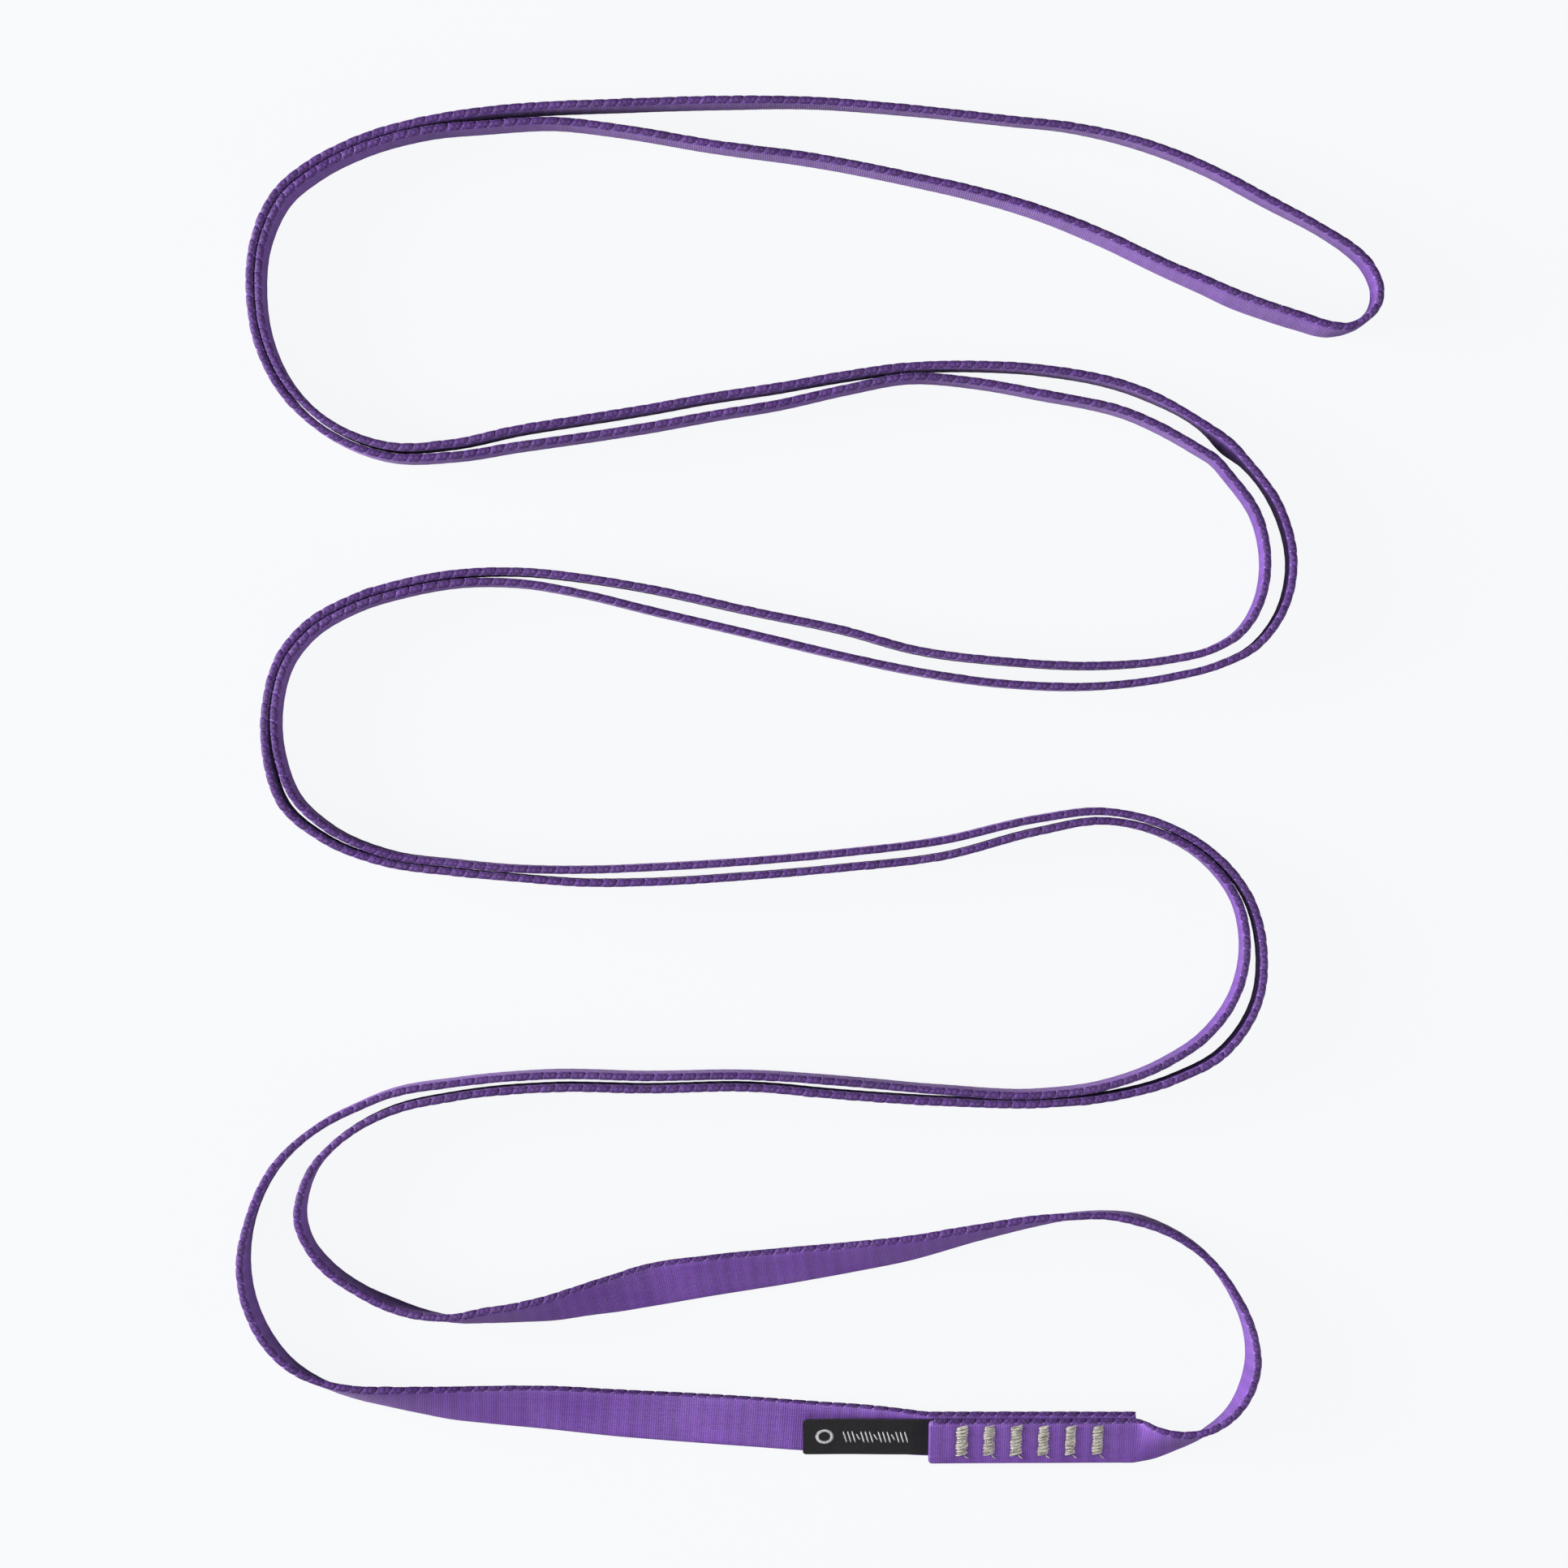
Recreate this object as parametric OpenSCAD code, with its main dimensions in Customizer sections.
// Endless sewn sling: one length of tubular nylon webbing, lapped and bar-tacked
// into a loop. It lies on its edge, doubled, in six rows on a flat surface.
// +X is along the rows, +Y is away from the sewn lap, z = 0 is the surface.

/* [Webbing] */
// Width of the webbing, pressed flat
web_w = 18; // [14:0.5:22]
// Thickness of the webbing, both walls of the tube
web_t = 2.6; // [1.8:0.1:3.2]
// How far the rounded selvedge reaches in from the edge
web_edge = 0.8; // [0.4:0.1:0.85]

/* [Sewn lap] */
// Length over which the two ends of the webbing overlap
lap_l = 71; // [58:1:86]
// Lean of the lap from upright, in degrees
lap_lean = 61; // [48:1:66]
// Room between two layers that lie against each other
ply_ease = 0.15; // [0.1:0.05:0.3]
// How far the front ply sits below the back ply
ply_slip = 0.8; // [0:0.1:2.2]

/* [Bar tacks] */
// Number of bar tacks across the lap
tack_n = 6; // [3:1:6]
// Distance from one bar tack to the next
tack_pitch = 9.3; // [7:0.1:11.2]
// Distance from the front ply's cut end to the middle of the first bar tack
tack_first = 11.4; // [9.5:0.1:14]
// Length of a bar tack, across the webbing
tack_l = 13.2; // [10:0.1:16]
// Height of the bar tacks' middle above the front ply's, across the width
tack_raise = 1.2; // [0:0.1:1.6]
// Width of a bar tack, along the webbing
tack_w = 3.6; // [2.5:0.1:4.4]
// How far the stitches stand out of the webbing's face
tack_rise = 0.5; // [0.3:0.05:0.7]
// Diameter of the sewing thread
thread_d = 0.5; // [0.3:0.05:0.7]
// Stitches down each side of a bar tack
stitch_n = 9; // [6:1:12]

/* [Label] */
// Length of the label that shows
label_l = 43; // [30:1:52]
// Width of the label
label_w = 15; // [12:0.1:17.4]
// Thickness of the label's woven tape
label_t = 0.5; // [0.3:0.05:0.8]
// Length of label caught between the two plies
label_tuck = 14; // [10:0.5:18]
// Turn of the free label towards the webbing's upper selvedge, in degrees
label_veer = 0.3; // [0:0.1:1]
// Height of the label's middle line above the webbing's, across the width
label_raise = 0; // [-0.5:0.1:0.6]
// Radius of the label's two free corners
label_round = 1.2; // [0.4:0.1:2.4]
// Distance from the front ply's cut end to the line the label bends on
label_bend = 0.6; // [0.5:0.05:1]

/* [Hidden] */
$fn = 24;
web_colour = [0.42, 0.28, 0.60];
thread_colour = [0.72, 0.70, 0.64];
label_colour = [0.12, 0.12, 0.13];
ring_step = 11.5; // longest distance between two sections
ring_turn = 12;   // largest turn between two sections, in degrees
ring_twist = 3;   // largest change of lean between two sections, in degrees

// Section corners as [across the width, through the thickness], anticlockwise
half_w = web_w / 2;
half_t = web_t / 2;
section = [
    [half_w, web_edge - half_t], [half_w, half_t - web_edge],
    [half_w - web_edge, half_t], [web_edge - half_w, half_t],
    [-half_w, half_t - web_edge], [-half_w, web_edge - half_t],
    [web_edge - half_w, -half_t], [half_w - web_edge, -half_t]];
// Height of the section's middle when its lowest corner is on the surface
function rest_z(lean) = max([for (c = section) c.x * cos(lean) + c.y * sin(lean)]);

// Lap: the back ply's cut end is at lap_x, and the front ply's cut end is lap_l to
// its left. Between the plies there is room for the label at the left end only.
lap_x = 120.5;
lap_y = -223;
lap_hold = 6; // the lap is straight to this far inside each of its ends
front_x = lap_x - lap_l;
gap_label = label_t + 2 * ply_ease;
gap_plain = 2 * ply_ease;
function ply_gap(x) = gap_label + (gap_plain - gap_label) * (x - front_x) / lap_l;
function front_out(x) = web_t + ply_gap(x);
function front_y(x) = lap_y - front_out(x) * cos(lap_lean) - ply_slip * sin(lap_lean);
function front_lift(x) = lap_lift + front_out(x) * sin(lap_lean) - ply_slip * cos(lap_lean);

// The lap is lifted until its bobbin stitches just clear the surface
floor_ease = 0.05;
tack_low = rest_z(-lap_lean) - (ply_slip - tack_raise + tack_l / 2) * cos(lap_lean)
    - (half_t + tack_rise) * sin(lap_lean);
lap_lift = max(0, floor_ease - tack_low);

// Every route point is [x, y, lean, lift]: the middle of the section, the lean from
// upright (positive towards the left of the direction of travel) and how far its
// lowest corner is above the surface. Lean and lift are 0 where they are left out.

// From the back ply's cut end, along the bottom row and round its left end
route_bottom = [
    [lap_x, lap_y, -lap_lean, lap_lift], [front_x + lap_hold, lap_y, -lap_lean, lap_lift],
    [front_x, lap_y, -lap_lean, lap_lift], [37, -222, -66, lap_lift / 2],
    [26, -221.3, -71, lap_lift / 5], [9.5, -220.6, -77], [-13, -219, -78], [-35, -217.5, -74],
    [-57, -216, -68], [-79.5, -214.1, -60], [-101.5, -212.9, -49],
    [-113, -212.3, -42], [-124, -211.2, -33], [-135, -210, -24], [-146, -208.5, -16],
    [-157, -205.5, -9], [-169.5, -198.5, -2], [-177, -190, 2], [-181.5, -181.5, 3],
    [-185, -165, 3], [-182.5, -148.5, -1], [-174.5, -131.5], [-157, -116],
    [-146, -110.5], [-135, -106]];

// The doubled band, rows 5 to 1: [x, y, clear gap between its two strands, lean of the
// left strand, lean of the right strand], with the leans left out where both are 0
band = [
    // row 5, to the right
    [-113, -104.5, 2.1], [-79, -101.5, 1.8], [-46, -102, 1.6], [-13, -101.5, 1.4],
    [21, -104, 2], [54, -106.5, 1.2], [87, -107.5, 0.5], [110, -105, 1.4], [132, -98, 3.8],
    [147, -89, 5.7], [158, -73, 5.2], [160.5, -57, 3.1], [157, -40, 1.5], [143, -23, 0.5],
    // row 4, to the left
    [132, -16.5, 0.4], [109.5, -11, 0.6], [87, -14, 1.6], [54, -22, 2.7], [21, -26, 2.5],
    [-13, -29, 2.4], [-46, -31, 2.4], [-68, -31.5, 1.8], [-91, -30.5, 0.5],
    [-113, -28.5, 0.4], [-135, -25.5, 0.4], [-157, -16.5, 1.3], [-168.5, -6.5, 2.1],
    [-174.5, 10, 1.3], [-175, 26.5, 0.5], [-170, 43.5, 0.4], [-163.5, 51.5, 0.4],
    [-146, 62, 0.4],
    // row 3, to the right
    [-129.5, 67, 0.5], [-113, 70, 0.6], [-90.5, 70.5, 1.3], [-68, 67.5, 2.8],
    [-46, 63, 4.5], [-13, 55.5, 5], [20.5, 48, 6], [43, 42.5, 4.6], [76, 38, 5],
    [109.5, 37, 4.3], [132, 39.5, 3.4], [148, 43.5, 3.2], [158, 49, 4.3], [166, 60, 5.7],
    [169, 72, 6.4], [165, 93.5, 5.4], [155, 107.5, 4.9],
    [149.5, 113, 3.9, 0, -7], [143, 118, 5.2],
    // row 2, to the left
    [120.5, 130, 6], [87, 137.5, 5.7], [65, 140, 3.1], [43, 140.5, 1], [20.5, 137, 2],
    [-2, 132.5, 3.1], [-24, 129, 3.5], [-46, 125, 3.5], [-68, 121.5, 3.4], [-91, 118, 2.9],
    [-113, 114, 1.7], [-135, 113.5, 0.9], [-157, 122.5, 0.4], [-170, 135, 0.4],
    [-178, 151.5, 0.4], [-180.5, 168.5, 0.4], [-179, 185, 0.4], [-171, 201.5, 0.4],
    [-160.5, 210, 0.4],
    // row 1, to the right
    [-146, 217.5, 0.4], [-124, 224, 0.7], [-101.5, 227, 2.1], [-79.5, 228.5, 2.7]];

// The eye at the free end of row 1, out along its far side and back
route_eye = [
    [-57, 232], [-24, 233], [9.5, 233, -2], [43, 230.5, -3], [76, 227, -4],
    [98.5, 224.5, -4], [120.5, 219.5, -2], [143, 211, -1], [165, 199.5, -1],
    [187, 187.5, -2], [193, 183.5, -1], [200, 176.5], [203, 168.5, 1], [202, 163, 1],
    [198, 158.5], [193, 156], [187, 155.5, -5], [176, 158.5, -8], [165, 162, -8.5],
    [154, 166, -8.5], [143, 171, -7], [131.5, 176, -5.5], [109.5, 186.5, -5],
    [87, 195.5, -3], [65, 202, -2], [43, 207, -1], [9.5, 213.5, -1], [-24, 218],
    [-57, 223.5]];

// Round the inner left end, along row 6, round its right end and back to the lap
route_top = [
    [-135, -112], [-146, -117.5], [-154, -123.5], [-161, -131.5], [-164.5, -140, -1],
    [-165.5, -148.5, -2], [-163, -156.5], [-156.5, -165, -1], [-144.5, -173.5],
    [-135, -178, -2], [-124, -181.5, 2], [-113, -183, 9], [-101.5, -182, 17],
    [-90.5, -181, 22], [-79.5, -179.5, 30], [-68.5, -177, 38], [-57, -174.5, 48],
    [-46, -172, 56], [-24, -168.5, 53], [-1.5, -165.5, 46], [20.5, -162.5, 37],
    [43, -159, 28], [65, -154, 18.5], [87, -149.5, 10.5], [98.5, -148, 5],
    [109.5, -147.5, 3], [120.5, -149, -1], [131.5, -153], [143, -160.5],
    [153.5, -173.5, 1], [160, -190, 4], [160.5, -198.5, 6], [158.5, -206.5, 5],
    [153.5, -215], [143, -222.5, -10], [131.5, -225.2, -29, 1], [126, -225.5, -44, 1.8],
    [lap_x, front_y(lap_x), -lap_lean, front_lift(lap_x)],
    [lap_x - lap_hold, front_y(lap_x - lap_hold), -lap_lean, front_lift(lap_x - lap_hold)],
    [front_x, front_y(front_x), -lap_lean, front_lift(front_x)]];

function flat(v) = norm([v.x, v.y]);
function toward(a, b) = [b.x - a.x, b.y - a.y] / flat(b - a);
// Side of a band point, square to the line through its two neighbours
function band_side(i) =
    let (d = toward(band[max(i - 1, 0)], band[min(i + 1, len(band) - 1)])) [-d.y, d.x];
function lean_of(i, side) = side * (is_undef(band[i][3]) ? 0 : side > 0 ? band[i][3] : band[i][4]);
function strand(i, side) =
    let (p = [band[i].x, band[i].y] + side * band_side(i) * (band[i][2] + web_t) / 2)
    [p.x, p.y, lean_of(i, side)];
left_strand = [for (i = [0:len(band) - 1]) strand(i, 1)];
right_strand = [for (i = [len(band) - 1:-1:0]) strand(i, -1)];

route = [for (p = concat(route_bottom, left_strand, route_eye, right_strand, route_top))
    [p.x, p.y, is_undef(p[2]) ? 0 : p[2], is_undef(p[3]) ? 0 : p[3]]];
last = len(route) - 1;

// One smooth curve through the points: a cubic between each two, whose slope at a
// point is the slope of the parabola through it and its neighbours.
function gap_after(i) = flat(route[i + 1] - route[i]);
function rise(i) = (route[i + 1] - route[i]) / gap_after(i);
function slope(i) = i == 0 ? rise(0) : i == last ? rise(last - 1)
    : (rise(i - 1) * gap_after(i) + rise(i) * gap_after(i - 1)) / (gap_after(i - 1) + gap_after(i));
function cubic(i, u) = let (h = gap_after(i))
    route[i] * (2 * u * u * u - 3 * u * u + 1) + slope(i) * h * (u * u * u - 2 * u * u + u)
    + route[i + 1] * (3 * u * u - 2 * u * u * u) + slope(i + 1) * h * (u * u * u - u * u);
function cubic_way(i, u) = let (h = gap_after(i))
    (route[i + 1] - route[i]) * (6 * u - 6 * u * u)
    + slope(i) * h * (3 * u * u - 4 * u + 1) + slope(i + 1) * h * (3 * u * u - 2 * u);
function turn(i) = let (a = slope(i), b = slope(i + 1))
    abs(atan2(a.x * b.y - a.y * b.x, a.x * b.x + a.y * b.y));
function twist(i) = abs(route[i + 1][2] - route[i][2]);
function steps(i) =
    ceil(max(gap_after(i) / ring_step, turn(i) / ring_turn, twist(i) / ring_twist));

// A station is [x, y, lean, lift, way x, way y]
function station(i, u) =
    let (p = cubic(i, u), d = cubic_way(i, u), n = flat(d)) concat(p, [d.x / n, d.y / n]);
stations = [for (i = [0:last - 1]) let (m = steps(i))
    for (k = [0:m - (i == last - 1 ? 0 : 1)]) station(i, k / m)];

function corner(s, c) = let (out = c.x * sin(s[2]) + c.y * cos(s[2]))
    [s.x - out * s[5], s.y + out * s[4],
        rest_z(s[2]) + max(s[3], 0) + c.x * cos(s[2]) - c.y * sin(s[2])];

// The origin is the middle of the webbing's own box, on the surface
web_points = [for (s = stations) for (c = section) corner(s, c)];
web_x = [for (p = web_points) p.x];
web_y = [for (p = web_points) p.y];
middle = [(min(web_x) + max(web_x)) / 2, (min(web_y) + max(web_y)) / 2, 0];

// Closed skin over rings of n points each
module skin(points, n) {
    rings = len(points) / n;
    sides = [for (r = [0:rings - 2]) for (k = [0:n - 1]) let (j = (k + 1) % n)
        each [[r * n + k, (r + 1) * n + k, (r + 1) * n + j], [r * n + k, (r + 1) * n + j, r * n + j]]];
    caps = [[for (k = [0:n - 1]) k], [for (k = [n - 1:-1:0]) (rings - 1) * n + k]];
    polyhedron(points, concat(sides, caps), convexity = 10);
}

module webbing() {
    color(web_colour) translate(-middle) skin(web_points, len(section));
}

// The lap's own frame: x as in the row, y across the webbing, z out of the front
module on_lap() {
    translate([0, lap_y, rest_z(-lap_lean) + lap_lift] - middle) rotate([90 - lap_lean, 0, 0]) children();
}

// One side of a bar tack: a low ridge of stitches and their legs into the webbing.
// Its middle is on the face, and deep is how far the legs reach below it.
module bar_tack(deep) {
    ridge_r = (tack_w * tack_w / 4 + tack_rise * tack_rise) / (2 * tack_rise);
    rotate([90, 0, 0]) linear_extrude(tack_l, center = true) intersection() {
        translate([0, tack_rise - ridge_r]) circle(ridge_r, $fn = 96);
        translate([-tack_w / 2, 0]) square([tack_w, tack_rise]);
    }
    leg_x = tack_w / 2 - thread_d;
    leg_pitch = (tack_l - 2 * thread_d) / stitch_n;
    for (side = [-1, 1]) for (k = [0:stitch_n - 1])
        translate([side * leg_x, (k + 0.5 + side / 4) * leg_pitch - stitch_n * leg_pitch / 2, -deep])
            cylinder(h = deep + tack_rise / 4, d = thread_d);
}

function tack_x(i) = front_x + tack_first + (i - 1) * tack_pitch;

module needle_thread(i) {
    x = tack_x(i);
    color(thread_colour) on_lap()
        translate([x, tack_raise - ply_slip, front_out(x) + half_t])
            bar_tack(web_t + ply_gap(x) / 2);
}

module bobbin_thread(i) {
    x = tack_x(i);
    color(thread_colour) on_lap()
        translate([x, tack_raise - ply_slip, -half_t]) mirror([0, 0, 1])
            bar_tack(web_t + ply_gap(x) / 2);
}

// The label runs straight out of the lap, in the lap's own plane, and the webbing
// twists away below it. Its bend line is the origin of both of its solids.
label_room = 0.3; // gap between the label's two solids, on each side of the bend line
module on_bend_line() {
    color(label_colour) on_lap() translate([front_x - label_bend, 0, half_t + ply_ease])
        children();
}

module label_tab() {
    on_bend_line() translate([label_room, label_raise - label_w / 2, 0])
        cube([label_bend + label_tuck - label_room, label_w, label_t]);
}

module label_flap() {
    reach = label_l - label_bend;
    on_bend_line() translate([0, label_raise, 0]) rotate([0, 0, -label_veer])
        linear_extrude(label_t) union() {
        translate([label_round - reach, -label_w / 2])
            square([reach - label_round - label_room, label_w]);
        hull() for (side = [-1, 1])
            translate([label_round - reach, side * (label_w / 2 - label_round)])
                circle(label_round);
    }
}

webbing();
for (i = [1:tack_n]) {
    needle_thread(i);
    bobbin_thread(i);
}
label_tab();
label_flap();
